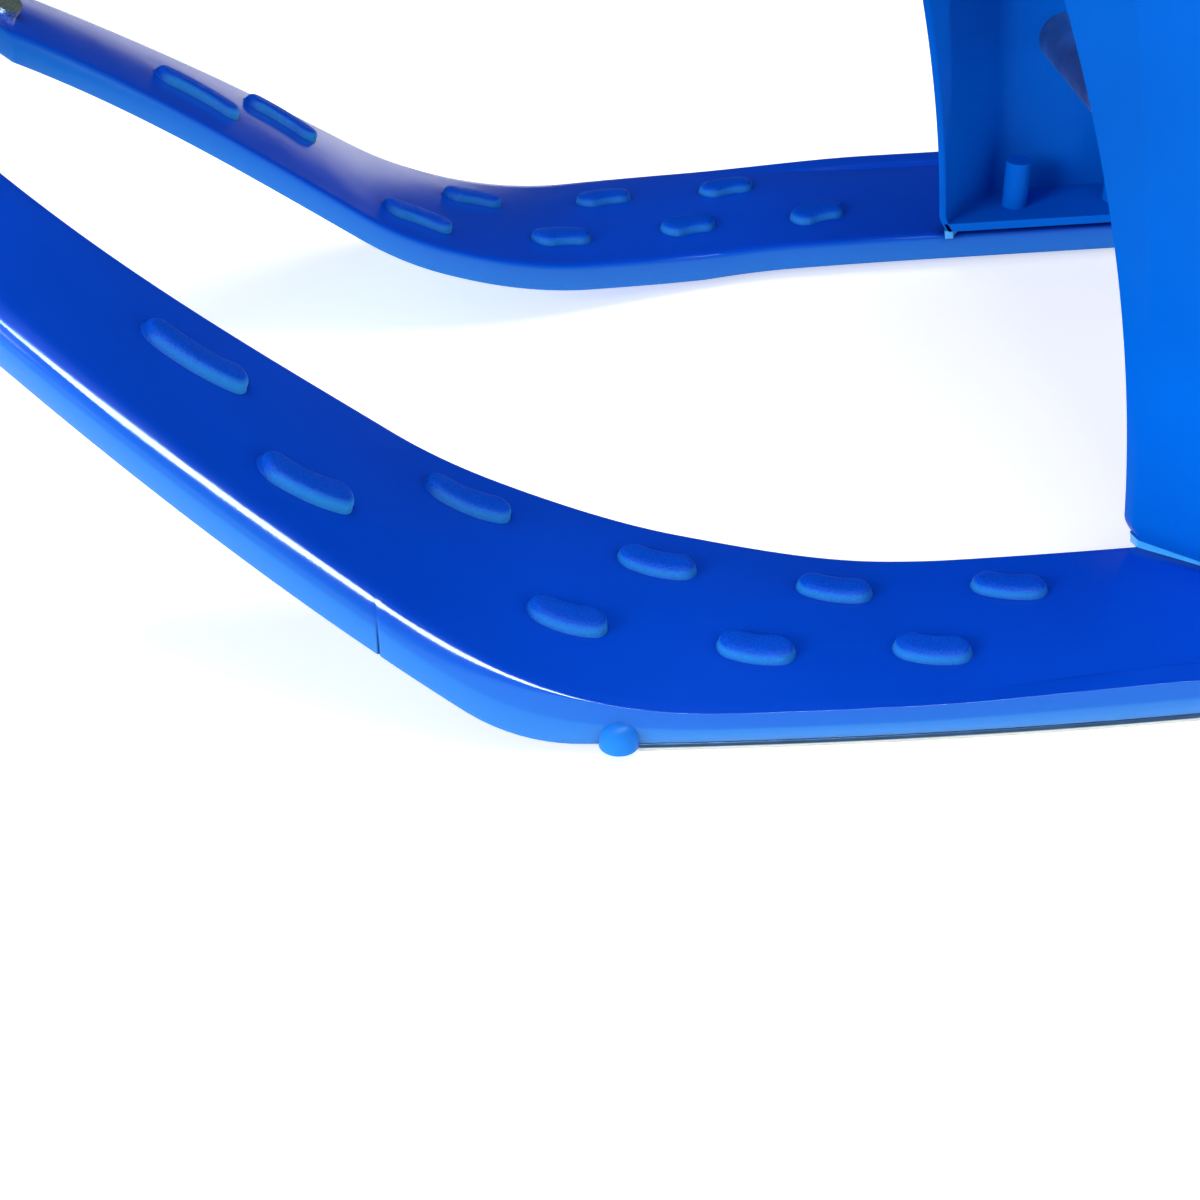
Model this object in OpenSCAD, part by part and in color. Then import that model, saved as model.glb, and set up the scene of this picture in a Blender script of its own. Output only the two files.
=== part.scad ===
// Child's sled: two moulded runners on steel rails, joined by a moulded nose, with four
// legs, two cross tubes and a seat. +X points to the nose, +Y to the rider's left and +Z
// up. The origin is on the ground below the middle of the sled.

/* [Runner] */
// Half the width over the outer walls
half_track = 212.2; // [206:0.2:218]
// Width of the foot tread beside the seat
tread_w = 85; // [80:1:90]
// Height of the foot tread
tread_top = 15.5; // [15:0.5:17]
// Height of the walls' lower edges
wall_bottom = 4; // [4:0.5:5]
// Thickness of the moulded walls
wall_t = 3; // [2.5:0.5:3.5]
// Angle of the swept-up front
sweep = 37; // [34:1:40]
// Where the tread starts to bend up
tread_bend_x = 243; // [235:1:250]
// Radius of the tread's bend
tread_bend_r = 160; // [150:5:170]
// Where the lower edge starts to bend up
keel_bend_x = 288; // [284:1:292]
// Radius of the lower edge's bend
keel_bend_r = 62; // [56:1:68]
// Where the arm ends and the nose begins
arm_end = 500; // [490:1:505]
// Extra width of the tread at the bend
bend_extra_w = 22; // [15:1:25]
// How much narrower the tread is at the end of the arm
arm_taper = 32; // [26:1:36]
// Height of the raised lip on the outer edge
lip_h = 2.5; // [1.5:0.5:3]
// Width of the raised lip
lip_w = 9.5; // [8:0.5:11]

/* [Rail] */
// Thickness of the steel rail
rail_t = 3; // [2.5:0.5:3]
// Width of the steel rail
rail_w = 26; // [24:1:28]
// Distance of the rail from the outer wall
rail_inset = 3; // [2:0.5:3]

/* [Seat] */
// Height of the seat
seat_top = 272; // [262:1:280]
// Length of the seat
seat_l = 700; // [695:5:710]
// Width of the seat
seat_w = 336; // [332:1:350]
// Depth of the seat's rim
rim_h = 26; // [22:1:30]

/* [Legs and tubes] */
// Where the front edge of the leg stands on the tread
leg_front = 84; // [80:1:86]
// Length of a leg's foot
leg_l = 96; // [90:1:104]
// Half the distance over the legs' outer faces
leg_half = 160; // [158:1:161]
// Height of the cross tubes
tube_z = 92; // [80:1:110]
// Outer radius of the cross tubes
tube_r = 11; // [10:0.5:12]

/* [Hidden] */
$fn = 48;
eps = 0.01;

// Runner outline
nose_side_flare = 3200;      // the outer wall bulges gently along the whole front half
tail_side_flare = 40000;     // and even more gently towards the tail
bow_flare = 750;             // and turns in more strongly along the arm
side_flare_x = 97;
bow_flare_x = 295;
bend_start = 150;            // the tread widens from here to bend_full
bend_full = 310;
taper_end = 470;
cant_start = 175;            // the inner edge is raised from here to cant_full
cant_full = 308;
cant_h = 12;
crown_h = 2.5;
arm_shear = 37;              // how far the inner edge lies behind the outer one at the arm's end
edge_r = 4;
inner_edge_r = 3;
inner_wall_h = 12;
tail_r = 38;
lip_start = 189;             // the lip grows from here to lip_full
lip_full = 98;
rib_end = 268;
rib_t = 4;                   // half the width of the rib that sits on the rail

function smooth(a, b, x) = let (t = min(max((x - a) / (b - a), 0), 1)) t * t * (3 - 2 * t);
function rise(d, r) = d <= 0 ? 0 : d < r * sin(sweep) ? r - sqrt(r * r - d * d)
    : r * (1 - cos(sweep)) + (d - r * sin(sweep)) * tan(sweep);
function tread_z(x) = tread_top + rise(x - tread_bend_x, tread_bend_r) + tail_lift(x);
function keel_z(x) = wall_bottom + rise(x - keel_bend_x, keel_bend_r) + tail_lift(x);
function tail_lift(x) = rise(tail_x + 34 - x, 60);
function tail_round(x) = let (d = max(tail_x + tail_r - x, 0) * 0.97) tail_r - sqrt(tail_r * tail_r - d * d);
function outer_y(x) = half_track - pow(max(x - side_flare_x, 0), 2) / nose_side_flare
    - pow(min(x - side_flare_x, 0), 2) / tail_side_flare
    - pow(max(x - bow_flare_x, 0), 2) / bow_flare;
function width_y(x) = tread_w + bend_extra_w * smooth(bend_start, bend_full, x)
    - arm_taper * smooth(bend_full, taper_end, x);
function inner_y(x) = outer_y(x) - width_y(x);
function inner_x(x) = x - arm_shear * smooth(bend_full, arm_end, x);
function cant(x) = cant_h * smooth(cant_start, cant_full, x);
function inner_z(x) = tread_z(x) + cant(x);
function lip(x) = 1 - smooth(lip_full, lip_start, x);

// Nose outline: the outer and inner edges go on as arcs that meet the centre line square
nose_head = atan(2 * (arm_end - side_flare_x) / nose_side_flare
    + 2 * (arm_end - bow_flare_x) / bow_flare);
nose_r = outer_y(arm_end) / cos(nose_head);
nose_c = arm_end - nose_r * sin(nose_head);
nose_x = nose_c + nose_r;
tail_x = -nose_x;
edge_x = inner_x(arm_end);
edge_head = 33;
edge_r_in = inner_y(edge_x) / cos(edge_head);
edge_c = edge_x - edge_r_in * sin(edge_head);
nose_climb = nose_r * tan(sweep) * cos(nose_head) * (90 - nose_head) * PI / 360;

// A section across the runner as [distance from the outer wall, height] points
function skin(w, zb, zt, zi, up) = let (top = zt + lip_h * up, lip_in = edge_r + (lip_w - edge_r) * up) concat(
    [[0.6, zb], [0, zb + (top - zb) * 0.5]],
    [for (a = [0:45:90]) [0.8 + edge_r * (1 - cos(a)), top - edge_r * (1 - sin(a))]],
    [[lip_in + 1.2, top]],
    [for (k = [0:2]) let (d = lip_in + 2.6 + (w - inner_edge_r - lip_in - 3.6) * k / 2)
        [d, tread_at(d / w, zt, zi)]],
    [[w, zi - inner_edge_r]]);
function tread_at(u, zt, zi) = zt + (zi - zt) * u + crown_h * 4 * u * (1 - u);
function under_at(d, w, zt, zi) = tread_at(d / w, zt, zi) - wall_t - 0.4;
function core(w, zb, zt, zi, zbi, zr) = let (
    rib_in = rail_mid + rib_t, rib_out = rail_mid - rib_t,
    under = [for (d = [w - wall_t, rib_in, rib_out, wall_t]) under_at(d, w, zt, zi)])
    [[w, zbi], [w - wall_t, zbi], [w - wall_t, under[0] - 1],
    [rib_in, under[1]], [rib_in, min(zr, under[1] - 0.8)], [rib_out, min(zr, under[2] - 0.8)],
    [rib_out, under[2]], [wall_t + 0.6, under[3] - 0.6], [wall_t + 0.6, zb]];

// Places a section between an outer and an inner point in plan
function place(points, po, pi) = let (e = (pi - po) / norm(pi - po))
    [for (p = points) [po.x + e.x * p.x, po.y + e.y * p.x, p.y]];

function runner_points(x) = [[x, outer_y(x) - tail_round(x)],
    [inner_x(x), inner_y(inner_x(x)) + tail_round(x) * 0.6]];
function runner_ring(x) = let (
    ends = runner_points(x), w = norm(ends[1] - ends[0]),
    zb = keel_z(x), zt = tread_z(x), zi = inner_z(inner_x(x)),
    zbi = max(zi - inner_wall_h, wall_bottom + tail_lift(x)),
    zr = x < rib_end && x > tail_x + 45 ? rail_t : 1000)
    place(concat(skin(w, zb, zt, zi, lip(x)), core(w, zb, zt, zi, zbi, zr)),
        ends[0], ends[1]);

// Nose sections: h runs from 0 at the left arm to 1 at the middle and 2 at the right arm
nose_out_z = tread_z(arm_end);
nose_in_z = inner_z(edge_x);
function nose_lift(h) = nose_climb * (1 - pow(1 - h, 2));
function nose_outer(h) = let (a = nose_head + (90 - nose_head) * h) [nose_c + nose_r * sin(a), nose_r * cos(a)];
function nose_inner(h) = let (a = edge_head + (90 - edge_head) * h) [edge_c + edge_r_in * sin(a), edge_r_in * cos(a)];
function nose_ring(h) = let (
    po = nose_outer(h), pi = nose_inner(h), w = norm(pi - po), lift = nose_lift(h),
    zt = nose_out_z + lift, zi = nose_in_z + lift, zb = keel_z(arm_end) + lift)
    place(concat(skin(w, zb, zt, zi, 0), core(w, zb, zt, zi, zi - inner_wall_h, 1000)), po, pi);

// The convex pieces that a channel section is made of, as indices of its points
channel = [[0, 1, 2, 17, 18], [2, 3, 4, 17], [4, 5, 6, 16, 17], [13, 14, 15, 16], [6, 7, 13, 16],
    [7, 8, 12, 13], [8, 9, 10, 11, 12]];

// Skins a list of rings that all have the same number of points and closes both ends
module loft(rings, ends = undef) {
    n = len(rings[0]);
    last = (len(rings) - 1) * n;
    caps = is_undef(ends) ? [[for (i = [0:n - 1]) i]] : ends;
    polyhedron(points = [for (ring = rings) each ring], convexity = 6,
        faces = concat(caps,
            [for (k = [0:len(rings) - 2], i = [0:n - 1]) let (a = k * n + i, b = k * n + (i + 1) % n)
                each [[a, a + n, b], [b, a + n, b + n]]],
            [for (cap = caps) [for (i = [len(cap) - 1:-1:0]) last + cap[i]]]));
}

// Kidney-shaped grip: place along the runner, share of the width, turn and stretch
inner_grips = [[137, 0.71, 18, 1], [196, 0.71, 18, 1], [254, 0.74, 17, 1.1], [316, 0.77, 4, 1.45], [401, 0.63, 6, 1.95]];
outer_grips = [[172, 0.31, 15, 1], [229, 0.31, 17, 1], [289, 0.34, 8, 1.1], [369, 0.33, -4, 1.7]];
grips = concat(inner_grips, outer_grips);
grip_h = 4;
grip_r = 6;
grip_bend_r = 26;
grip_span = 15;
function grip_slope(x) = atan((tread_z(x + 1) - tread_z(x - 1)) / 2);
function arc(r, from, to, steps, centre = [0, 0]) = [for (k = [0:steps])
    let (a = from + (to - from) * k / steps) centre + r * [sin(a), cos(a)]];
module kidney(bend) {
    end = bend * [sin(grip_span), cos(grip_span)];
    linear_extrude(grip_h + 3) translate([0, -bend]) polygon(concat(
        arc(bend + grip_r, -grip_span, grip_span, 5),
        arc(grip_r, grip_span + 30, grip_span + 150, 4, end),
        arc(bend - grip_r, grip_span, -grip_span, 4),
        arc(grip_r, -grip_span - 150, -grip_span - 30, 4, [-end.x, end.y])));
}
module grip_at(g) {
    y = outer_y(g.x) - width_y(g.x) * g.y;
    z = tread_at(g.y, tread_z(g.x), inner_z(g.x));
    translate([g.x, y, z - 3]) rotate([0, -grip_slope(g.x), 0]) rotate(-g.z) kidney(grip_bend_r * g[3]);
}

// Fastener places
boss_x = 277;
boss_r = 6.5;
boss_out = 3.6;               // how far the boss stands out of the wall
rail_front = 270;
rail_back = tail_x + 50;
rail_mid = rail_inset + rail_w / 2;
rail_screws = [for (k = [0:5]) rail_back + 22 + k * (rail_front - rail_back - 44) / 5];
rail_screw_r = 2.4;
foot_screws = [leg_front - 34, leg_front - leg_l + 16];
foot_y = 140;
foot_screw_r = 2.4;
washer_r = 6;
tube_x = leg_front - leg_l / 2 - 6;
seat_x = -190;
back_tube_x = 2 * seat_x - tube_x;
module both_ends() {
    children();
    translate([2 * seat_x, 0, 0]) mirror([1, 0, 0]) children();
}
module both_sides() {
    children();
    mirror([0, 1, 0]) children();
}

// Runner
stations = concat([for (a = [0:24:72]) tail_x + tail_r * (1 - cos(a))], [tail_x + 44, tail_x + 46, -200],
    [for (x = [lip_full:30:lip_start]) x], [for (x = [212:18:266]) x], [rib_end - 0.5, rib_end + 0.5],
    [for (x = [278:10:328]) x], [for (x = [345:22:arm_end - 12]) x], [arm_end]);
tail_wall_x = tail_x + 6;
tail_wall_in = 1.2;
module tail_wall() {
    ends = runner_points(tail_wall_x);
    low = keel_z(tail_wall_x) + 0.6;
    translate([tail_wall_x, ends[1].y + tail_wall_in, low])
        cube([2.5, ends[0].y - ends[1].y - 2 * tail_wall_in, tread_z(tail_wall_x) - low - 1.9]);
}
module runner() {
    color([0.01, 0.30, 0.85]) difference() {
        union() {
            loft([for (x = stations) runner_ring(x)], channel);
            tail_wall();
            for (g = grips) grip_at(g);
            for (x = rail_screws) translate([x, outer_y(x) - rail_mid, rail_t + 0.2])
                cylinder(r = 5.5, h = tread_top - rail_t - 1.2);
            intersection() {
                translate([boss_x, outer_y(boss_x) - boss_r + boss_out, 3]) cylinder(r = boss_r, h = 8.6);
                translate([boss_x - 20, outer_y(boss_x) - 2.5, 0]) cube([40, 20, 20]);
            }
        }
        for (x = rail_screws) translate([x, outer_y(x) - rail_mid, rail_t - 1]) cylinder(r = rail_screw_r, h = 9.5);
        both_ends() for (x = foot_screws) translate([x, foot_y, 0]) cylinder(r = foot_screw_r + 0.3, h = 30);
        nose_bolt_places() cylinder(r = nose_bolt_r + 0.3, h = 20, center = true);
    }
}
module left_runner() { runner(); }
module right_runner() { mirror([0, 1, 0]) runner(); }

// Nose
nose_bolt_r = 3;
nose_lap = 26;
lap_turn = 0.22;             // share of the nose's turn that the lap plate covers
tab_t = 4;
tab_gap = 0.4;
function lap_ends(k) = k < 0 ? runner_points(arm_end + k * nose_lap) : [nose_outer(k * lap_turn), nose_inner(k * lap_turn)];
function lap_heights(k) = k < 0 ? [tread_z(arm_end + k * nose_lap), inner_z(inner_x(arm_end + k * nose_lap))]
    : [nose_out_z + nose_lift(k * lap_turn), nose_in_z + nose_lift(k * lap_turn)];
function lap_ring(k) = let (
    ends = lap_ends(k), z = lap_heights(k), w = norm(ends[1] - ends[0]),
    d0 = rail_mid + rib_t + 2, d1 = w - wall_t - 2)
    place([for (d = [d0, d1]) [d, under_at(d, w, z[0], z[1]) - tab_gap - (d == d1 ? 1 : 0)],
        for (d = [d1, d0]) [d, under_at(d, w, z[0], z[1]) - tab_gap - tab_t]], ends[0], ends[1]);
function lap_middle(k) = let (ends = lap_ends(k), z = lap_heights(k), w = norm(ends[1] - ends[0]),
    d = (rail_mid + rib_t + w - wall_t) / 2, e = (ends[1] - ends[0]) / w)
    [ends[0].x + e.x * d, ends[0].y + e.y * d, under_at(d, w, z[0], z[1])];
nose_bolts = [-0.28, 0.7];
module nose_bolt_places() {
    for (k = nose_bolts) translate(lap_middle(k)) rotate([0, -sweep + (k < 0 ? 0 : 8), 0]) rotate([14, 0, 0])
        children();
}
eyelet_h = 0.65;
eyelet_xy = (nose_outer(eyelet_h) + nose_inner(eyelet_h)) / 2;
eyelet_z = tread_at(0.5, nose_out_z, nose_in_z) + nose_lift(eyelet_h) + 3;
eyelet_bore_r = 5;
eyelet_wall = 1.5;
eyelet_pad_h = 12;
module nose_lap_plates() {
    color([0.03, 0.25, 0.70]) difference() {
        both_sides() loft([for (k = [-1, -0.5, -0.02, 0.02, 0.5, 1]) lap_ring(k)]);
        both_sides() nose_bolt_places() cylinder(r = nose_bolt_r + 0.3, h = 30, center = true);
    }
}
module nose() {
    color([0.01, 0.30, 0.85]) difference() {
        union() {
            loft([for (h = [0:0.125:2]) nose_ring(h)], channel);
            both_sides() translate([eyelet_xy.x, eyelet_xy.y, eyelet_z - eyelet_pad_h])
                cylinder(r = 11, h = eyelet_pad_h);
        }
        both_sides() {
            nose_bolt_places() cylinder(r = nose_bolt_r + 0.3, h = 30, center = true);
            translate([eyelet_xy.x, eyelet_xy.y, eyelet_z - 30])
                cylinder(r = eyelet_bore_r + eyelet_wall, h = 60);
        }
    }
}
module eyelet() {
    color([0.72, 0.72, 0.70]) translate([eyelet_xy.x, eyelet_xy.y, eyelet_z - eyelet_pad_h]) difference() {
        union() {
            cylinder(r = eyelet_bore_r + eyelet_wall, h = eyelet_pad_h);
            translate([0, 0, eyelet_pad_h]) cylinder(r = 9.5, h = 1.2);
            translate([0, 0, -1.2]) cylinder(r = 9.5, h = 1.2);
        }
        translate([0, 0, -5]) cylinder(r = eyelet_bore_r, h = eyelet_pad_h + 10);
    }
}
module left_rope_eyelet() { eyelet(); }
module right_rope_eyelet() { mirror([0, 1, 0]) eyelet(); }
module nose_bolt_set() {
    color([0.75, 0.75, 0.73]) both_sides() nose_bolt_places() {
        translate([0, 0, -9]) cylinder(r = nose_bolt_r, h = 13.2);
        translate([0, 0, 4.2]) cylinder(r = 6.5, h = 3.2);
    }
}
module nose_nut_set() {
    color([0.75, 0.75, 0.73]) both_sides() nose_bolt_places() translate([0, 0, -10.2]) difference() {
        cylinder(r = 5.8, h = 5, $fn = 6);
        translate([0, 0, -1]) cylinder(r = nose_bolt_r, h = 8);
    }
}

// Steel rail: a flat strip that follows the wall, with both ends turned up
function rail_edge(from, to, inset) = [for (k = [0:12]) let (x = from + (to - from) * k / 12)
    [x, outer_y(x) - inset]];
rail_turn = 40;
module rail_tip(x, way) {
    translate([x - way, outer_y(x) - rail_inset - rail_w + 0.6, 0.3]) mirror([way < 0 ? 1 : 0, 0, 0])
        rotate([0, -rail_turn, 0]) cube([12, rail_w - 1.2, rail_t]);
}
module rail() {
    color([0.62, 0.63, 0.62]) difference() {
        union() {
            linear_extrude(rail_t) polygon(concat(rail_edge(rail_back, rail_front, rail_inset),
                rail_edge(rail_front, rail_back, rail_inset + rail_w)));
            rail_tip(rail_front, 1);
            rail_tip(rail_back, -1);
        }
        for (x = rail_screws) translate([x, outer_y(x) - rail_mid, 0]) {
            translate([0, 0, -1]) cylinder(r = rail_screw_r + 0.2, h = 6);
            translate([0, 0, -eps]) cylinder(r1 = 4.8, r2 = rail_screw_r + 0.2, h = 2.2);
        }
    }
}
module left_steel_rail() { rail(); }
module right_steel_rail() { mirror([0, 1, 0]) rail(); }
module rail_screw_set() {
    color([0.75, 0.75, 0.73]) for (x = rail_screws) translate([x, outer_y(x) - rail_mid, 0.1]) {
        cylinder(r1 = 4.6, r2 = rail_screw_r, h = 2.1);
        cylinder(r = rail_screw_r, h = 10.4);
    }
}
module left_rail_screws() { rail_screw_set(); }
module right_rail_screws() { mirror([0, 1, 0]) rail_screw_set(); }

// Legs: a moulded shell, open towards the middle, with a slanted front face and a web along
// the front edge that leans forward and widens with height
leg_base = tread_top + 2.5;
leg_top = seat_top - 4;
leg_in = 124;
leg_slant = 33;
leg_edge_r = 6;
function leg_lean(z) = let (h = max(z - 24, 0)) 0.075 * h + 0.00082 * h * h;
function leg_web(z) = let (h = z - leg_base) 1 + 0.05 * h + 0.00028 * h * h;
function leg_flare(z) = 5 * (1 - smooth(leg_base - 3, leg_base + 8, z));
function leg_line(z, inset) = let (
    front = leg_front + 4.5 + leg_lean(z) - leg_flare(z) - inset, crease = front - leg_web(z),
    out = leg_half - inset, back = leg_front - leg_l - leg_lean(z) * 0.15 + inset)
    [[front, leg_in, z], [crease, leg_in + 5 - inset * 0.6, z],
        [crease - leg_slant + 2, out - 1, z], [crease - leg_slant - 4, out, z],
        [back + leg_edge_r, out, z], [back, out - leg_edge_r, z], [back, leg_in, z]];
function leg_ring(z, hollow) = let (outer = leg_line(z, 0), inner = leg_line(z, wall_t), n = len(outer))
    concat(outer, [for (k = [n - 1:-1:0]) hollow ? inner[k]
        : [outer[n - 1].x + (outer[0].x - outer[n - 1].x) * (n - k) / (n + 1),
            leg_in + 0.6 * sin(180 * (n - k) / (n + 1)), z]]);
leg_flange = 4;
module leg() {
    levels = [leg_base + 14, leg_base + 28, 95, 130, 165, 200, 235];
    color([0.02, 0.40, 0.92]) difference() {
        union() {
            loft(concat([for (z = [leg_base, leg_base + leg_flange]) leg_ring(z, false)],
                [for (z = concat([leg_base + leg_flange + 0.3], levels, [leg_top - leg_flange - 0.3]))
                    leg_ring(z, true)],
                [for (z = [leg_top - leg_flange, leg_top]) leg_ring(z, false)]));
            for (x = foot_screws) translate([x, foot_y, leg_base + 1]) cylinder(r = 5.5, h = 24);
            for (x = foot_screws) translate([x, foot_y, leg_top - 25]) cylinder(r = 5.5, h = 24);
        }
        for (x = foot_screws) translate([x, foot_y, leg_base - 5]) cylinder(r = foot_screw_r, h = 25);
        for (x = foot_screws) translate([x, foot_y, leg_top - 20]) cylinder(r = foot_screw_r, h = 25);
        translate([tube_x, leg_half + 5, tube_z]) rotate([90, 0, 0]) cylinder(r = 3.3, h = 15);
    }
}
module front_left_leg() { leg(); }
module front_right_leg() { mirror([0, 1, 0]) leg(); }
module rear_left_leg() { translate([2 * seat_x, 0, 0]) mirror([1, 0, 0]) leg(); }
module rear_right_leg() { translate([2 * seat_x, 0, 0]) mirror([1, 0, 0]) mirror([0, 1, 0]) leg(); }

// Screws that hold the legs to the runners from below, with their washers
foot_under = 11.6;
module at_each_foot_screw() {
    both_sides() both_ends() for (x = foot_screws) translate([x, foot_y, 0]) children();
}
module leg_foot_screws() {
    color([0.75, 0.75, 0.73]) at_each_foot_screw() {
        translate([0, 0, foot_under - 1.6]) cylinder(r = foot_screw_r, h = leg_base + 18 - foot_under);
        translate([0, 0, foot_under - 4.8]) cylinder(r = 4.4, h = 3.3);
    }
}
module leg_foot_washers() {
    color([0.70, 0.70, 0.68]) at_each_foot_screw() translate([0, 0, foot_under - 1.5]) difference() {
        cylinder(r = washer_r, h = 1.4);
        translate([0, 0, -1]) cylinder(r = foot_screw_r + 0.2, h = 4);
    }
}

// Seat: a panel with a turned-down rim, slots to let the snow through and two grip holes
panel_t = 4;
seat_corner_r = 46;
seat_slot_w = 12;
seat_slot_l = 400;
hand_l = 110;
hand_w = 24;
hand_y = 138;
module rounded(l, w, r) {
    for (x = [-1, 1], y = [-1, 1]) translate([x * (l / 2 - r), y * (w / 2 - r)]) circle(r);
    square([l - 2 * r, w], center = true);
    if (w > 2 * r) square([l, w - 2 * r], center = true);
}
module seat_deck() {
    color([0.01, 0.33, 0.87]) translate([seat_x, 0, seat_top]) difference() {
        union() {
            translate([0, 0, -panel_t]) linear_extrude(panel_t) rounded(seat_l, seat_w, seat_corner_r);
            translate([0, 0, -rim_h]) linear_extrude(rim_h) difference() {
                rounded(seat_l, seat_w, seat_corner_r);
                rounded(seat_l - 2 * wall_t, seat_w - 2 * wall_t, seat_corner_r - wall_t);
            }
            for (y = [-3:3]) translate([-180, y * 30 - 1.25, -16]) cube([360, 2.5, 13]);
            for (x = [-180, -60, 60, 180]) translate([x - 1.25, -105, -16]) cube([2.5, 210, 13]);
            for (y = [-1, 1]) translate([0, y * hand_y, -14]) linear_extrude(12)
                rounded(hand_l + 8, hand_w + 8, 14);
        }
        for (y = [-2.5:1:2.5]) translate([0, y * 30, -panel_t - 20]) linear_extrude(30)
            rounded(seat_slot_l, seat_slot_w, seat_slot_w / 2);
        for (y = [-1, 1]) translate([0, y * hand_y, -30]) linear_extrude(40)
            rounded(hand_l, hand_w, hand_w / 2);
        translate([-seat_x, 0, -seat_top]) both_sides() both_ends() for (x = foot_screws)
            translate([x, foot_y, seat_top - 10]) {
                cylinder(r = foot_screw_r + 0.3, h = 20);
                translate([0, 0, 7.8]) cylinder(r1 = foot_screw_r + 0.3, r2 = 5, h = 2.21);
            }
    }
}
module seat_screws() {
    color([0.75, 0.75, 0.73]) at_each_foot_screw() {
        translate([0, 0, seat_top - 22]) cylinder(r = foot_screw_r, h = 21.9);
        translate([0, 0, seat_top - 2.1]) cylinder(r1 = foot_screw_r, r2 = 4.7, h = 2);
    }
}

// Cross tubes between the legs, with a threaded insert in each end and a bolt through the leg
tube_half = leg_half - wall_t;
tube_wall = 1.5;
insert_l = 22;
module tube(x) {
    color([0.66, 0.67, 0.66]) translate([x, tube_half, tube_z]) rotate([90, 0, 0]) difference() {
        cylinder(r = tube_r, h = 2 * tube_half);
        translate([0, 0, -1]) cylinder(r = tube_r - tube_wall, h = 2 * tube_half + 2);
    }
}
module front_cross_tube() { tube(tube_x); }
module rear_cross_tube() { tube(back_tube_x); }
module at_each_tube_end() {
    both_sides() both_ends() translate([tube_x, tube_half, tube_z]) rotate([90, 0, 0]) children();
}
module tube_inserts() {
    color([0.12, 0.12, 0.13]) at_each_tube_end() difference() {
        cylinder(r = tube_r - tube_wall, h = insert_l);
        translate([0, 0, -1]) cylinder(r = 3, h = insert_l + 2);
    }
}
module tube_bolts() {
    color([0.75, 0.75, 0.73]) at_each_tube_end() {
        translate([0, 0, -wall_t]) cylinder(r = 3, h = 20);
        translate([0, 0, -wall_t - 3.4]) cylinder(r = 6.5, h = 3.4);
    }
}

left_runner();
right_runner();
nose();
nose_lap_plates();
left_rope_eyelet();
right_rope_eyelet();
nose_bolt_set();
nose_nut_set();
left_steel_rail();
right_steel_rail();
left_rail_screws();
right_rail_screws();
front_left_leg();
front_right_leg();
rear_left_leg();
rear_right_leg();
leg_foot_screws();
leg_foot_washers();
seat_deck();
seat_screws();
front_cross_tube();
rear_cross_tube();
tube_inserts();
tube_bolts();
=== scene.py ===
import math

import bmesh
import bpy
from mathutils import Matrix, Vector


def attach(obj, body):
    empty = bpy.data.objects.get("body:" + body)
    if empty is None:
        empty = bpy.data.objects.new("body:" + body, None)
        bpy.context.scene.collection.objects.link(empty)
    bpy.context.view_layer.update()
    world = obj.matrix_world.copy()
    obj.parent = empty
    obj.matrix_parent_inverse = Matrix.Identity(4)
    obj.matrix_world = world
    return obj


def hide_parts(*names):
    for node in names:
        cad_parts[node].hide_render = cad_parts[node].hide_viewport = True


# A child's sled: moulded runners, nose, legs and seat, steel rails and the fasteners between them.
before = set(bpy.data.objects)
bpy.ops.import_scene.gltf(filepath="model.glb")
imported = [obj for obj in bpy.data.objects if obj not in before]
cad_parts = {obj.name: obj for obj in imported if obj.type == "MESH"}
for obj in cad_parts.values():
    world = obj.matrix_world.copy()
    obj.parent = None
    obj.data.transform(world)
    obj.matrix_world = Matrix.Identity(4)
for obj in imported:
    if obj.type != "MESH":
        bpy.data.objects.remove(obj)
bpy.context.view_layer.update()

# ---------------------------------------------------------------- sizes in mm, as in the CAD
HALF_TRACK, TREAD_W, TREAD_TOP, WALL_BOTTOM = 212.2, 85, 15.5, 4
SWEEP = math.radians(37)
ARM_END, TAIL_R, RAIL_T, RAIL_W, RAIL_INSET = 500, 38, 3, 26, 3
RAIL_MID = RAIL_INSET + RAIL_W / 2
SEAT_X, SEAT_TOP, SEAT_L, SEAT_W, SEAT_R = -190, 272, 700, 336, 46
LEG_FRONT, LEG_L, LEG_HALF, LEG_IN, LEG_SLANT = 84, 96, 160, 124, 33
LEG_BASE, LEG_TOP = TREAD_TOP + 2.5, SEAT_TOP - 4
TUBE_Z = 92
FOOT_SCREWS, FOOT_Y, FOOT_UNDER = (50, 4), 140, 11.6
LIP_H, SKIN, RIB_HALF = 2.5, 3.4, 4
BOSS_X, BOSS_R, BOSS_OUT = 277, 6.5, 3.6
SEAM_X = 350.5
EYE_AT = 0.65
SLOT_PITCH, GRIP_HOLE_Y = 30, 138
MM = 0.001


def smooth(a, b, x):
    t = min(max((x - a) / (b - a), 0), 1)
    return t * t * (3 - 2 * t)


def rise(d, r):
    if d <= 0:
        return 0
    if d < r * math.sin(SWEEP):
        return r - math.sqrt(r * r - d * d)
    return r * (1 - math.cos(SWEEP)) + (d - r * math.sin(SWEEP)) * math.tan(SWEEP)


def outer_y(x):
    return (HALF_TRACK - max(x - 97, 0) ** 2 / 3200 - min(x - 97, 0) ** 2 / 40000
            - max(x - 295, 0) ** 2 / 750)


def width_y(x):
    return TREAD_W + 22 * smooth(150, 310, x) - 32 * smooth(310, 470, x)


def inner_x(x):
    return x - 37 * smooth(310, 500, x)


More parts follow.
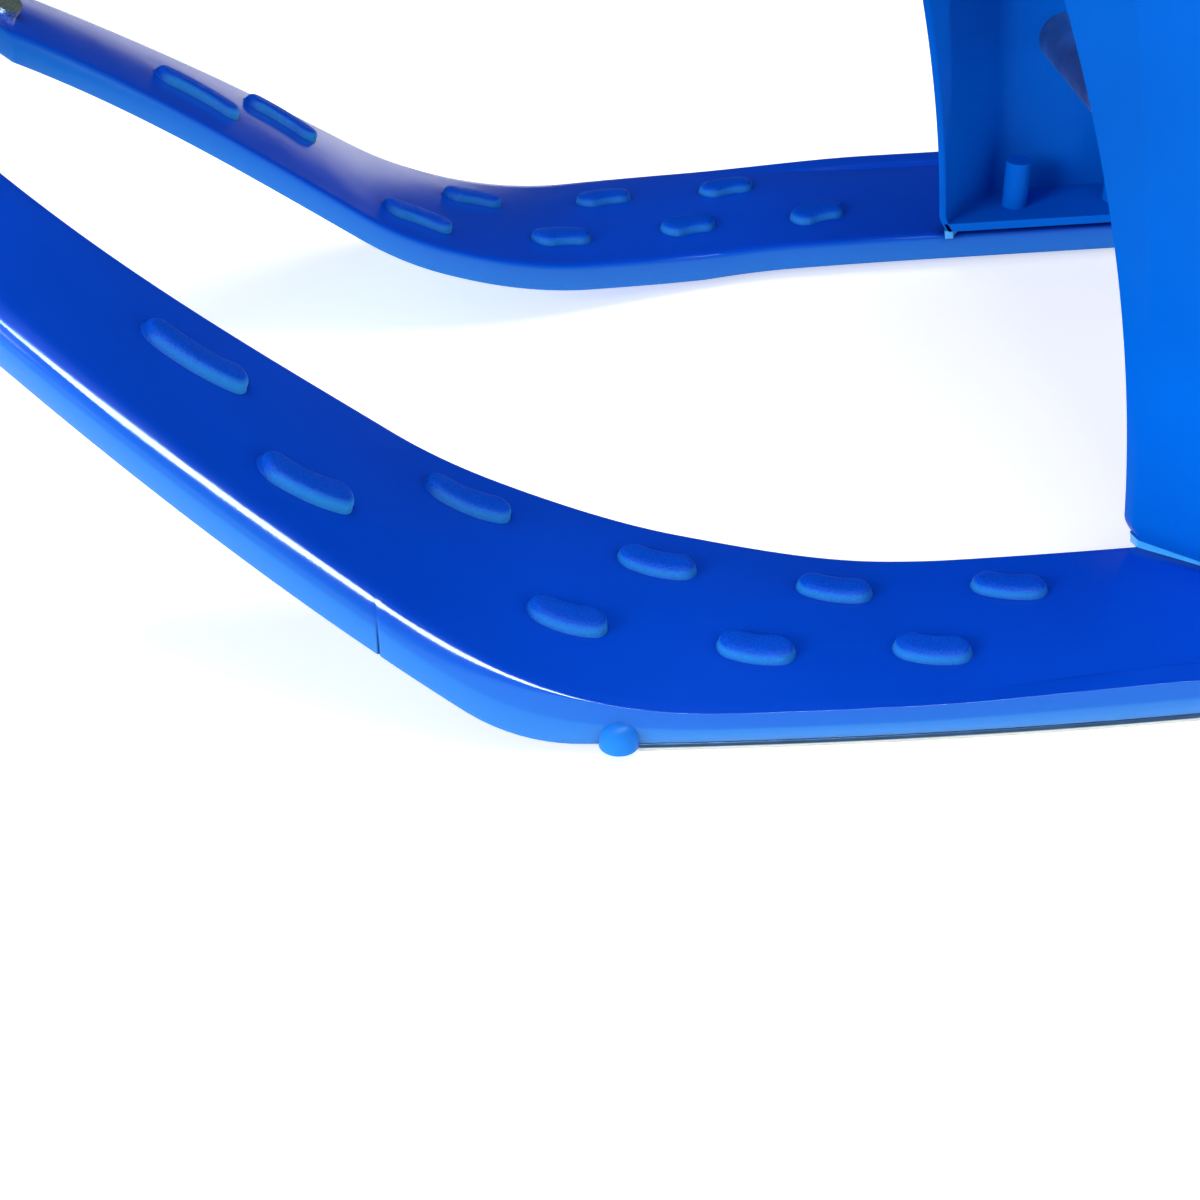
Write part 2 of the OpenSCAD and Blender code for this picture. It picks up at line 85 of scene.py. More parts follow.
NOSE_HEAD = math.atan(2 * (ARM_END - 97) / 3200 + 2 * (ARM_END - 295) / 750)
NOSE_R = outer_y(ARM_END) / math.cos(NOSE_HEAD)
NOSE_C = ARM_END - NOSE_R * math.sin(NOSE_HEAD)
TAIL_X = -(NOSE_C + NOSE_R)
EDGE_X, EDGE_HEAD = inner_x(ARM_END), math.radians(33)
EDGE_R = (outer_y(EDGE_X) - width_y(EDGE_X)) / math.cos(EDGE_HEAD)
EDGE_C = EDGE_X - EDGE_R * math.sin(EDGE_HEAD)
NOSE_CLIMB = NOSE_R * math.tan(SWEEP) * math.cos(NOSE_HEAD) * (math.pi / 2 - NOSE_HEAD) / 2
RAIL_FRONT, RAIL_BACK = 270, TAIL_X + 50
RAIL_SCREWS = [RAIL_BACK + 22 + k * (RAIL_FRONT - RAIL_BACK - 44) / 5 for k in range(6)]


def tail_lift(x):
    return rise(TAIL_X + 34 - x, 60)


def tread_z(x):
    return TREAD_TOP + rise(x - 243, 160) + tail_lift(x)


def keel_z(x):
    return WALL_BOTTOM + rise(x - 288, 62) + tail_lift(x)


def inner_z(x):
    return tread_z(x) + 12 * smooth(175, 308, x)


def tail_round(x):
    d = max(TAIL_X + TAIL_R - x, 0) * 0.97
    return TAIL_R - math.sqrt(TAIL_R * TAIL_R - d * d)


def tread_at(u, zt, zi):
    return zt + (zi - zt) * u + 10 * u * (1 - u)


def surface(x, y):
    """Height of the tread at a place in plan."""
    u = (outer_y(x) - y) / width_y(x)
    return tread_at(min(max(u, 0), 1), tread_z(x), inner_z(x))


# ---------------------------------------------------------------- mesh helpers
def build(name, verts, faces, mats, sharp=40, mirror=False, face_mats=None):
    """A mesh object from points in mm. Doubled points are merged and normals face outwards."""
    side = -1 if mirror else 1
    me = bpy.data.meshes.new(name)
    me.from_pydata([(v[0] * MM, side * v[1] * MM, v[2] * MM) for v in verts], [], faces)
    for m in mats:
        me.materials.append(m)
    if face_mats:
        me.polygons.foreach_set("material_index", face_mats)
    bm = bmesh.new()
    bm.from_mesh(me)
    bmesh.ops.remove_doubles(bm, verts=bm.verts, dist=2e-6)
    bmesh.ops.dissolve_degenerate(bm, edges=bm.edges, dist=1e-6)
    bmesh.ops.recalc_face_normals(bm, faces=bm.faces)
    bm.to_mesh(me)
    bm.free()
    for p in me.polygons:
        p.use_smooth = True
    me.set_sharp_from_angle(angle=math.radians(sharp))
    obj = bpy.data.objects.new(name, me)
    bpy.context.scene.collection.objects.link(obj)
    return obj


class Shape:
    """Collects closed shells into one mesh."""

    def __init__(self):
        self.verts, self.faces, self.mats = [], [], []

    def loft(self, rings, mat=0, closed=False):
        n, base = len(rings[0]), len(self.verts)
        for ring in rings:
            self.verts += ring
        spans = len(rings) if closed else len(rings) - 1
        new = []
        for k in range(spans):
            a, b = base + k * n, base + ((k + 1) % len(rings)) * n
            for i in range(n):
                j = (i + 1) % n
                new.append((a + i, a + j, b + j, b + i))
        if not closed:
            new.append(tuple(range(base, base + n)))
            new.append(tuple(range(base + (len(rings) - 1) * n, base + len(rings) * n))[::-1])
        self.faces += new
        self.mats += [mat] * len(new)
        return self

    def lathe(self, profile, place, steps=40, mat=0, closed=False):
        """Turns (radius, height) points about Z. A third value cuts the ring to that many corners."""
        rings = []
        for p in profile:
            ring = []
            for k in range(steps):
                a = 2 * math.pi * k / steps
                r = p[0]
                if len(p) > 2:
                    half = math.pi / p[2]
                    r = r * math.cos(half) / math.cos((a % (2 * half)) - half)
                ring.append(place @ Vector((r * math.cos(a), r * math.sin(a), p[1])))
            rings.append([tuple(v) for v in ring])
        return self.loft(rings, mat, closed)

    def done(self, name, mats, **options):
        return build(name, self.verts, self.faces, mats, face_mats=self.mats, **options)


def rounded(corners):
    """A closed outline with each (a, b, radius, points) corner turned into a curve."""
    out, n = [], len(corners)
    for i, (d, z, r, k) in enumerate(corners):
        if k == 1:
            out.append((d, z))
            continue
        p, before, after = Vector((d, z)), corners[i - 1], corners[(i + 1) % n]
        ends = []
        for other in (before, after):
            v = Vector(other[:2]) - p
            ends.append(p + v.normalized() * min(r, v.length * r / (r + other[2] + 1e-6) * 0.999))
        for j in range(k):
            q = j / (k - 1)
            s = ends[0] * (1 - q) ** 2 + p * 2 * q * (1 - q) + ends[1] * q * q
            out.append((s.x, s.y))
    return out


def put(points, po, pi):
    """Section points (distance from the outer point, height) placed between two points in plan."""
    ex, ey = pi[0] - po[0], pi[1] - po[1]
    w = math.hypot(ex, ey)
    return [(po[0] + ex / w * d, po[1] + ey / w * d, z) for d, z in points]


def steps(a, b, size):
    n = max(1, round((b - a) / size))
    return [a + (b - a) * k / n for k in range(n + 1)]


# ---------------------------------------------------------------- materials
def finish_of(name, colour, rough, metal=0.0, coat=0.0, deep=0.8, bright=1.15, patch=9.0,
              grain=700.0, grain_depth=0.05, stretch=(1, 1, 1), wave=60.0, wave_depth=0.0,
              rough_range=0.06, scratch=0.0, spec=0.5, side=None, worn=None, painted_shade_reach=0.0):
    """A node material with patches of tone, a fine grain, a gentle waviness and hairline scratches.
    Upright faces can take a lighter tone, side: painted light, standing in for the reflection that falls
    on walls. Steel can be worn bright underneath. Crevices can be darker with painted shade, reaching that many
    mm."""
    m = bpy.data.materials.new(name)
    m.use_nodes = True
    t, nodes = m.node_tree, m.node_tree.nodes
    bsdf = nodes["Principled BSDF"]
    bsdf.inputs["Metallic"].default_value = metal
    bsdf.inputs["Coat Weight"].default_value = coat
    bsdf.inputs["Coat Roughness"].default_value = 0.08
    bsdf.inputs["Specular IOR Level"].default_value = spec
    coord = nodes.new("ShaderNodeTexCoord")
    mapped = nodes.new("ShaderNodeMapping")
    mapped.inputs["Scale"].default_value = stretch
    t.links.new(coord.outputs["Object"], mapped.inputs["Vector"])

    def noise(scale, detail, source=mapped):
        n = nodes.new("ShaderNodeTexNoise")
        n.inputs["Scale"].default_value = scale
        n.inputs["Detail"].default_value = detail
        t.links.new(source.outputs[0 if source is mapped else "Object"], n.inputs["Vector"])
        return n.outputs["Fac"]

    def ranged(value, low, high, to_low=0.0, to_high=1.0):
        n = nodes.new("ShaderNodeMapRange")
        for key, v in (("From Min", low), ("From Max", high), ("To Min", to_low), ("To Max", to_high)):
            n.inputs[key].default_value = v
        t.links.new(value, n.inputs["Value"])
        return n.outputs["Result"]

    def mixed(base, factor, other, kind="MIX"):
        """The base colour mixed with another, which is a colour or a socket."""
        n = nodes.new("ShaderNodeMix")
        n.data_type, n.blend_type = "RGBA", kind
        for value, socket in ((factor, n.inputs[0]), (base, n.inputs[6]), (other, n.inputs[7])):
            if isinstance(value, bpy.types.NodeSocket):
                t.links.new(value, socket)
            else:
                socket.default_value = value
        return n.outputs[2]

    def height(z):
        n = nodes.new("ShaderNodeSeparateXYZ")
        t.links.new(z, n.inputs["Vector"])
        return n.outputs["Z"]

    def bumped(fac, depth, under=None):
        n = nodes.new("ShaderNodeBump")
        n.inputs["Strength"].default_value = 1.0
        n.inputs["Distance"].default_value = depth * MM
        t.links.new(fac, n.inputs["Height"])
        if under:
            t.links.new(under.outputs["Normal"], n.inputs["Normal"])
        return n

    ramp = nodes.new("ShaderNodeValToRGB")
    ends = ramp.color_ramp.elements
    ends[0].position, ends[1].position = 0.3, 0.7
    ends[0].color = [c * deep for c in colour] + [1]
    ends[1].color = [min(c * bright, 1) for c in colour] + [1]
    t.links.new(noise(patch, 3, coord), ramp.inputs["Fac"])
    tinted = ramp.outputs["Color"]
    # Upright faces take the side colour by their normal: painted light, standing in for the reflection on walls.
    if side:
        facing = nodes.new("ShaderNodeNewGeometry")
        tinted = mixed(tinted, ranged(height(facing.outputs["Normal"]), 0.70, -0.35), (*side, 1))
    # Ambient occlusion multiplies the colour down in crevices and nooks: painted shade.
    if painted_shade_reach:
        shade = nodes.new("ShaderNodeAmbientOcclusion")
        shade.samples = 8
        shade.inputs["Distance"].default_value = painted_shade_reach * MM
        tinted = mixed(tinted, 1.0, ranged(shade.outputs["AO"], 0.35, 0.95, 0.30), "MULTIPLY")
    if worn:
        low = ranged(height(coord.outputs["Object"]), 0.0016, 0.0011)
        tinted = mixed(tinted, low, (*worn, 1))
    t.links.new(tinted, bsdf.inputs["Base Color"])
    t.links.new(ranged(noise(patch * 9, 4), 0, 1, max(rough - rough_range, 0.02), rough + rough_range),
                bsdf.inputs["Roughness"])
    last = bumped(noise(grain, 4), grain_depth)
    if wave_depth:
        last = bumped(noise(wave, 1, coord), wave_depth, last)
    if scratch:
        lines = nodes.new("ShaderNodeTexWave")
        for key, v in (("Scale", 22.0), ("Distortion", 9.0), ("Detail", 4.0), ("Detail Scale", 3.0)):
            lines.inputs[key].default_value = v
        t.links.new(coord.outputs["Object"], lines.inputs["Vector"])
        last = bumped(ranged(lines.outputs["Fac"], 0.985, 1), scratch, last)
        last.invert = True
    t.links.new(last.outputs["Normal"], bsdf.inputs["Normal"])
    return m


# The side colour lights upright walls as a painted reflection of the floor; the crevice reach darkens the lip's
# step and nooks as painted shade.
GLOSS_BLUE = finish_of("runner_gloss_blue", (0.0008, 0.058, 0.56), 0.16, grain=450, grain_depth=0.006,
                       wave=45, wave_depth=0.10, scratch=0.004, patch=7, deep=0.88, bright=1.1,
                       spec=0.2, painted_shade_reach=7, side=(0.010, 0.175, 0.56))
# The side colour makes the grips' rims a lighter azure: painted light. The crevice darkening round the grips is
# painted shade.
GRIP_BLUE = finish_of("grip_grained_blue", (0.0010, 0.062, 0.52), 0.42, grain=1700, grain_depth=0.35,
                      patch=1900, deep=0.74, bright=1.4, spec=0.015, painted_shade_reach=5,
                      side=(0.05, 0.48, 0.95))
# The boss is the runner's plastic, coloured all over in the walls' lighter tone: painted light from the walls'
# reflection.
BOSS_BLUE = finish_of("boss_satin_blue_painted_light", (0.006, 0.14, 0.60), 0.4, grain=450, grain_depth=0.01,
                      patch=90, spec=0.03, side=(0.02, 0.21, 0.70))
# A light blue band at the leg's foot: a painted highlight along the flange's edge.
LEG_PAINTED_HIGHLIGHT = finish_of("leg_foot_painted_highlight", (0.05, 0.40, 0.92), 0.3, grain=450, grain_depth=0.006,
                     patch=60)
LEG_BLUE = finish_of("leg_gloss_blue", (0.0004, 0.105, 0.53), 0.20, grain=450, spec=0.02,
                     grain_depth=0.006, wave=30, wave_depth=0.12, scratch=0.003, patch=6)
SEAT_BLUE = finish_of("seat_satin_blue", (0.0010, 0.085, 0.60), 0.34, grain=1500, grain_depth=0.03,
                      wave=30, wave_depth=0.08, patch=8, spec=0.15)
# The rail's dark navy colour is painted shadow of the gap under the runner's wall; the bright band underneath is
# wear.
RAIL_STEEL = finish_of("rail_steel_worn_edge_painted_shadow", (0.018, 0.045, 0.10), 0.42, metal=0.8, grain=40,
                       grain_depth=0.02, stretch=(2, 60, 60), patch=70, deep=0.78, bright=1.2, scratch=0.01,
                       worn=(0.50, 0.48, 0.44))
STEEL = finish_of("tube_galvanised_steel", (0.46, 0.48, 0.50), 0.34, metal=1.0, grain=40,
                  grain_depth=0.02, stretch=(2, 60, 60), patch=70, deep=0.78, bright=1.2, scratch=0.01)
ZINC = finish_of("fastener_zinc", (0.56, 0.55, 0.50), 0.28, metal=1.0, grain=1800, grain_depth=0.01,
                 patch=240, deep=0.82)
NYLON = finish_of("insert_black_nylon", (0.016, 0.016, 0.018), 0.45, grain=1600, grain_depth=0.03,
                  patch=90)


def shown(obj, slot, *nodes):
    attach(obj, "root")
    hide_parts(*nodes)
    return obj


# ---------------------------------------------------------------- runner and nose sections
def channel(w, zb, zt, zi, up, zbi, low, edge=5.0, dent=0.0):
    """The moulding's section: outer wall, rounded edge, lip, crowned tread, inner edge, underside, rib."""
    top, lip_in = zt + LIP_H * up, 4 + 5.5 * up + max(edge - 4, 0) * (1 - up)
    step = lip_in + 2.6

    def over(d):
        return tread_at(d / w, zt, zi)

    def under(d, drop=0.0):
        return over(d) - SKIN - drop

    mid = zb + (top - zb) * 0.55
    rib_in, rib_out = RAIL_MID + RIB_HALF, RAIL_MID - RIB_HALF
    tread = steps(step + 7, w - 5, (w - 12 - step) / 15)
    return rounded(
        [(1.9 + dent, zb, 0.6, 3), (0.5 * dent, mid, 0.7, 3), (1.2, top, edge, 13),
         (lip_in + 1.0, top * up + (1 - up) * over(lip_in + 1.0), 0.7, 4),
         (step, over(step) - 0.5 * up, 0.5, 3)]
        + [(d, over(d), 0, 1) for d in tread]
        + [(w, zi + 0.2, 3.0, 7), (w, zbi, 0.6, 3), (w - 3, zbi, 0.6, 3), (w - 3, under(w - 3, 0.6), 1.6, 3),
           (rib_in, under(rib_in), 1.0, 2), (rib_in, min(low, under(rib_in, 0.8)), 0.4, 2),
           (rib_out, min(low, under(rib_out, 0.8)), 0.4, 2), (rib_out, under(rib_out), 1.0, 2),
           (3.9, under(3.9, 0.6), 1.4, 3), (3.9, zb, 0.5, 3)])


def runner_ring(x):
    po = (x, outer_y(x) - tail_round(x))
    xi = inner_x(x)
    pi = (xi, outer_y(xi) - width_y(xi) + 0.6 * tail_round(x))
    zi = inner_z(xi)
    on_rail = TAIL_X + 45 < x < 268
    dent = 0.9 * max(0, 1 - abs(x - SEAM_X) / 0.5)
    return put(channel(math.dist(po, pi), keel_z(x), tread_z(x), zi, 1 - smooth(98, 189, x),
                       max(zi - 12, WALL_BOTTOM + tail_lift(x)), RAIL_T if on_rail else 1000,
                       0.08 + 9.2 * smooth(280, 350, x), dent), po, pi)


# place along the sled, share of the tread's width, turn in degrees, stretch
INNER_GRIPS = [(137, .71, 18, 1), (196, .71, 18, 1), (254, .74, 17, 1.1), (316, .77, 4, 1.45),
               (401, .63, 6, 1.95)]
OUTER_GRIPS = [(172, .31, 15, 1), (229, .31, 17, 1), (289, .34, 8, 1.1), (369, .33, -4, 1.7)]
GRIP_BEND, GRIP_SPAN = 26, math.radians(15)
GRIP_SHAPE = [(0, 4.05), (2.6, 4.0), (3.8, 3.85), (4.6, 3.5), (5.2, 2.9), (5.65, 2.1), (5.9, 1.2),
              (6.1, 0.5), (6.4, 0.05), (6.8, -0.4), (6.6, -1.4)]


def kidney(s, r):
    """The outline at a distance s round a grip's centre line of bend radius r."""
    out, end = [], (r * math.sin(GRIP_SPAN), r * math.cos(GRIP_SPAN) - r)
    for k in range(25):
        a = -GRIP_SPAN + 2 * GRIP_SPAN * k / 24
        out.append(((r + s) * math.sin(a), (r + s) * math.cos(a) - r))
    for k in range(1, 12):
        a = GRIP_SPAN + math.pi * k / 12
        out.append((end[0] + s * math.sin(a), end[1] + s * math.cos(a)))
    for k in range(25):
        a = GRIP_SPAN - 2 * GRIP_SPAN * k / 24
        out.append(((r - s) * math.sin(a), (r - s) * math.cos(a) - r))
    for k in range(1, 12):
        a = math.pi - GRIP_SPAN + math.pi * k / 12
        out.append((-end[0] + s * math.sin(a), end[1] + s * math.cos(a)))
    return out


def grip_rings(x, u, turn, stretch):
    slope = math.atan((tread_z(x + 1) - tread_z(x - 1)) / 2)
    y = outer_y(x) - width_y(x) * u
    turn = -math.radians(turn)
    rings = []
    for s, h in GRIP_SHAPE:
        ring = []
        for a, b in kidney(s, GRIP_BEND * stretch):
            px = x + (a * math.cos(turn) - b * math.sin(turn)) * math.cos(slope)
            py = y + a * math.sin(turn) + b * math.cos(turn)
            ring.append((px - h * math.sin(slope), py, surface(px, py) + h * math.cos(slope)))
        rings.append(ring)
    return rings


def make_runner(name, mirror):
    shape = Shape()
    xs = [TAIL_X + TAIL_R * (1 - math.cos(math.radians(a))) for a in range(0, 89, 6)]
    xs += steps(TAIL_X + 44, 60, 9) + steps(64, ARM_END, 4)
    xs += [TAIL_X + 44.9, TAIL_X + 45.1, 267.9, 268.1] + [SEAM_X + d for d in (-.6, -.3, 0, .3, .6)]
    shape.loft([runner_ring(x) for x in sorted(set(xs))])
    for g in INNER_GRIPS + OUTER_GRIPS:
        shape.loft(grip_rings(*g), mat=1)
    shape.lathe([(6.1, 3.0), (6.4, 3.15), (6.5, 3.5), (6.5, 7.6), (6.3, 9.2), (5.9, 10.6), (5.3, 11.7),
                 (4.4, 12.7), (2.9, 13.6)],
                Matrix.Translation((BOSS_X, outer_y(BOSS_X) - BOSS_R + BOSS_OUT, 0)), steps=48, mat=2)
    for x in RAIL_SCREWS:
        shape.lathe([(5.5, RAIL_T), (5.5, TREAD_TOP - 2)],
                    Matrix.Translation((x, outer_y(x) - RAIL_MID, 0)), 24)
    tx = TAIL_X + 6
    yo, yi = outer_y(tx) - tail_round(tx) - 1.4, outer_y(tx) - width_y(tx) + 0.6 * tail_round(tx) + 1.4
    shape.loft([[(x, yo, z), (x + 2.5, yo, z), (x + 2.5, yi, z), (x, yi, z)]
                for x, z in ((tx, keel_z(tx) + 0.6), (tx, tread_z(tx) - 1.6))])
    obj = shape.done(name, [GLOSS_BLUE, GRIP_BLUE, BOSS_BLUE], sharp=38, mirror=mirror)
    return shown(obj, "runner_plastic", name.replace("_shell", ""))


make_runner("left_runner_shell", False)
make_runner("right_runner_shell", True)


def lift(h):
    return NOSE_CLIMB * (1 - (1 - h) ** 2)


def nose_outer(h):
    a = NOSE_HEAD + (math.pi / 2 - NOSE_HEAD) * h
    return NOSE_C + NOSE_R * math.sin(a), NOSE_R * math.cos(a)


def nose_inner(h):
    a = EDGE_HEAD + (math.pi / 2 - EDGE_HEAD) * h
    return EDGE_C + EDGE_R * math.sin(a), EDGE_R * math.cos(a)


def nose_ring(h):
    po, pi = nose_outer(h), nose_inner(h)
    zi = inner_z(EDGE_X) + lift(h)
    return put(channel(math.dist(po, pi), keel_z(ARM_END) + lift(h), tread_z(ARM_END) + lift(h), zi, 0,
                       zi - 12, 1000, 9.3), po, pi)


EYE = [(a + b) / 2 for a, b in zip(nose_outer(EYE_AT), nose_inner(EYE_AT))]
EYE_Z = tread_at(0.5, tread_z(ARM_END), inner_z(EDGE_X)) + lift(EYE_AT) + 3


def applied(obj):
    """The object with its modifiers made real."""
    dg = bpy.context.evaluated_depsgraph_get()
    me = bpy.data.meshes.new_from_object(obj.evaluated_get(dg), depsgraph=dg)
    obj.modifiers.clear()
    obj.data = me
    return obj


nose = Shape().loft([nose_ring(h) for h in steps(0, 2, 2 / 110)]).done("nose_shell", [GLOSS_BLUE], sharp=38)
pads = Shape()
cutters = Shape()
for side in (1, -1):
    at = Matrix.Translation((EYE[0], side * EYE[1], EYE_Z))
    pads.lathe([(8, -12), (11, -12), (11.6, -4), (11, -1.0), (10.4, -0.3), (9.4, 0), (8, 0)], at, 48)
    cutters.lathe([(6.5, -34), (6.5, 30)], at, 48)
pad_obj = pads.done("pad_trial", [GLOSS_BLUE])
cut_obj = cutters.done("cut_trial", [GLOSS_BLUE])
for tool, kind in ((pad_obj, "UNION"), (cut_obj, "DIFFERENCE")):
    mod = nose.modifiers.new(kind, "BOOLEAN")
    mod.operation, mod.object, mod.solver = kind, tool, "EXACT"
applied(nose)
nose.data.set_sharp_from_angle(angle=math.radians(38))
for tool in (pad_obj, cut_obj):
    bpy.data.objects.remove(tool)
shown(nose, "runner_plastic", "nose")

for name, side in (("left_rope_eyelet", 1), ("right_rope_eyelet", -1)):
    eye = Shape()
    eye.lathe(
        [(5, -12.4), (5, -0.4), (5.1, 0.5), (5.6, 1.0), (6.4, 1.2), (8.2, 1.1), (9.2, 0.7), (9.5, 0.1),
         (9.3, -0.05), (6.5, -0.1), (6.5, -11.9), (9.3, -11.95), (9.5, -12.2), (9.2, -12.9), (8.2, -13.2),
         (6.2, -13.2), (5.2, -12.9)], Matrix.Translation((EYE[0], side * EYE[1], EYE_Z)), 48, closed=True)
    shown(eye.done(name + "_rolled", [ZINC]), "fastener_steel", name)


# ---------------------------------------------------------------- rails
def make_rail(name, mirror):
    tilt, bend = math.radians(40), 5.0
    radius = bend / tilt
    path = [(RAIL_BACK, -k * 1.2) for k in range(9, 0, -1)]
    path += [(x, 0) for x in steps(RAIL_BACK, RAIL_FRONT, 8)]
    path += [(RAIL_FRONT, k * 1.2) for k in range(1, 10)]
    rings = []
    for x, s in path:
        far, way = abs(s), 1 if s > 0 else -1
        turned, flat = min(far / bend, 1) * tilt, max(far - bend, 0)
        along = radius * math.sin(turned) + flat * math.cos(tilt)
        up = radius * (1 - math.cos(turned)) + flat * math.sin(tilt)
        narrow = 0.6 * min(far / 2, 1)
        far_edge, edge = RAIL_W - 2 * narrow, outer_y(x) - RAIL_INSET - narrow
        corners = ((0, 0), (RAIL_T, 0), (RAIL_T, far_edge), (0, far_edge))
        outline = rounded([(h, d, 0.7, 4) for h, d in corners])
        rings.append([(x + way * (along - h * math.sin(turned)), edge - d, up + h * math.cos(turned))
                      for h, d in outline])
    shape = Shape().loft(rings)
    return shown(shape.done(name + "_strip", [RAIL_STEEL], mirror=mirror), "rail_steel", name)


make_rail("left_steel_rail", False)
make_rail("right_steel_rail", True)


# ---------------------------------------------------------------- legs
def leg_line(z, inset):
    h = max(z - 24, 0)
    lean = 0.075 * h + 0.00082 * h * h
    h = z - LEG_BASE
    front = LEG_FRONT + 4.5 + lean - 5 * (1 - smooth(LEG_BASE - 3, LEG_BASE + 8, z)) - inset
    crease = front - (1 + 0.05 * h + 0.00028 * h * h)
    out, back = LEG_HALF - inset, LEG_FRONT - LEG_L - lean * 0.15 + inset
    r = max(0.8, 6 - inset)
    return [(front, LEG_IN, 0.5, 3), (crease, LEG_IN + 5 - inset * 0.6, 1.2, 5),
            (crease - LEG_SLANT + 1, out, r + 3, 9), (back, out, r, 9), (back, LEG_IN, 0.5, 3)]


def leg_ring(z):
    """A U-shaped ring of the wall. The lowest one follows the tread."""
    ring = rounded(leg_line(z, -0.7 if z < LEG_BASE + 1.3 else 0) + leg_line(z, 3)[::-1])
    low = z <= LEG_BASE + 0.01
    return [(x, y, surface(x, y) - 0.35 if low else z) for x, y in ring]


def make_leg(name, mirror, rear):
    shape = Shape()
    zs = [LEG_BASE + d for d in (0, 0.7, 1.2, 1.5)] + steps(LEG_BASE + 2, LEG_BASE + 30, 2)
    shape.loft([leg_ring(z) for z in zs + steps(52, LEG_TOP, 6)])
    around = len(leg_ring(LEG_TOP))
    # The lowest band round the foot takes the light blue: a painted highlight.
    shape.mats[:around] = [1] * around
    for low, high in ((LEG_BASE + 0.3, LEG_BASE + 4), (LEG_TOP - 3.7, LEG_TOP - 0.02)):
        lines = [(z, [(x, y, max(r, 0.4), k) for x, y, r, k in leg_line(z, 0.4)]) for z in (low, high)]
        shape.loft([[(x, y, z) for x, y in rounded(line)] for z, line in lines])
    for x in FOOT_SCREWS:
        for a, b in ((LEG_BASE + 1, LEG_BASE + 25), (LEG_TOP - 25, LEG_TOP - 2)):
            shape.lathe([(5.5, a), (5.5, b)], Matrix.Translation((x, FOOT_Y, 0)), 32)
    if rear:
        shape.verts = [(2 * SEAT_X - x, y, z) for x, y, z in shape.verts]
    return shown(shape.done(name + "_shell", [LEG_BLUE, LEG_PAINTED_HIGHLIGHT], sharp=32, mirror=mirror), "leg_plastic", name)


for end in ("front", "rear"):
    for side in ("left", "right"):
        make_leg(f"{end}_{side}_leg", side == "right", end == "rear")


# ---------------------------------------------------------------- seat
def frame_ring(l, w, r, z, n=16):
    out = []
    for cx, cy, a0 in ((1, 1, 0), (-1, 1, 90), (-1, -1, 180), (1, -1, 270)):
        for k in range(n + 1):
            a = math.radians(a0 + 90 * k / n)
            out.append((SEAT_X + cx * (l / 2 - r) + r * math.cos(a), cy * (w / 2 - r) + r * math.sin(a), z))
    return out


def plate(name, outlines, z0, z1, bevel):
    """A flat plate with holes: a filled curve with rounded edges, turned into a mesh."""
    cu = bpy.data.curves.new(name, "CURVE")
    cu.dimensions, cu.fill_mode = "2D", "BOTH"
    cu.extrude, cu.bevel_depth, cu.bevel_resolution, cu.offset = \
        ((z1 - z0) / 2 - bevel) * MM, bevel * MM, 3, -bevel * MM
    for pts in outlines:
        sp = cu.splines.new("POLY")
        sp.points.add(len(pts) - 1)
        for p, q in zip(sp.points, pts):
            p.co = (q[0] * MM, q[1] * MM, 0, 1)
        sp.use_cyclic_u = True
    src = bpy.data.objects.new(name + "_src", cu)
    bpy.context.scene.collection.objects.link(src)
    dg = bpy.context.evaluated_depsgraph_get()
    me = bpy.data.meshes.new_from_object(src.evaluated_get(dg), depsgraph=dg)
    bpy.data.objects.remove(src)
    me.transform(Matrix.Translation((0, 0, (z0 + z1) / 2 * MM)))
    return me


def seat_outline(l, w, r, cy=0.0):
    return [(x, y + cy) for x, y, z in frame_ring(l, w, r, 0)]


holes = [seat_outline(400, 12, 5.99, (k - 2.5) * SLOT_PITCH) for k in range(6)]
holes += [seat_outline(110, 24, 11.99, s * GRIP_HOLE_Y) for s in (1, -1)]
panel = plate("seat_panel", [seat_outline(SEAT_L - 1, SEAT_W - 1, SEAT_R - 0.5)] + holes,
              SEAT_TOP - 4, SEAT_TOP, 0.9)
seat = Shape()
rim = [(4.0, -3.5), (1.6, -0.3), (0.6, -0.8), (0.15, -1.8), (0, -3.2), (0, -22), (-0.0, -25.2), (0.4, -26),
       (2.4, -26), (2.9, -25.4), (3.0, -22), (3.2, -5.2), (4.4, -3.9)]
seat.loft([frame_ring(SEAT_L - 2 * d, SEAT_W - 2 * d, SEAT_R - d, SEAT_TOP + z) for d, z in rim], closed=True)


def bar(x0, x1, y0, y1, z0, z1):
    outline = rounded([(x0, y0, 0.5, 3), (x1, y0, 0.5, 3), (x1, y1, 0.5, 3), (x0, y1, 0.5, 3)])
    seat.loft([[(x, y, z) for x, y in outline] for z in (z0, z1)])


for k in range(-3, 4):
    y = k * SLOT_PITCH
    bar(SEAT_X - 180, SEAT_X + 180, y - 1.25, y + 1.25, SEAT_TOP - 16, SEAT_TOP - 3)
for x in (-180, -60, 60, 180):
    for k in range(-3, 3):
        y = k * SLOT_PITCH
        bar(SEAT_X + x - 1.25, SEAT_X + x + 1.25, y + 1.1, y + 28.9, SEAT_TOP - 15, SEAT_TOP - 3)
for s in (1, -1):
    collar = [(0, -2.5), (0, -13), (0.6, -14), (3, -14), (3.6, -13), (4, -2.5)]
    seat.loft([[(x, y + s * GRIP_HOLE_Y, z) for x, y, z in
                frame_ring(110 + 2 * d, 24 + 2 * d, 12 + d, SEAT_TOP + h)] for d, h in collar], closed=True)
seat_obj = seat.done("seat_deck_moulding", [SEAT_BLUE])
bm = bmesh.new()
bm.from_mesh(seat_obj.data)
bm.from_mesh(panel)
bmesh.ops.remove_doubles(bm, verts=bm.verts, dist=1e-6)
bm.to_mesh(seat_obj.data)
bm.free()
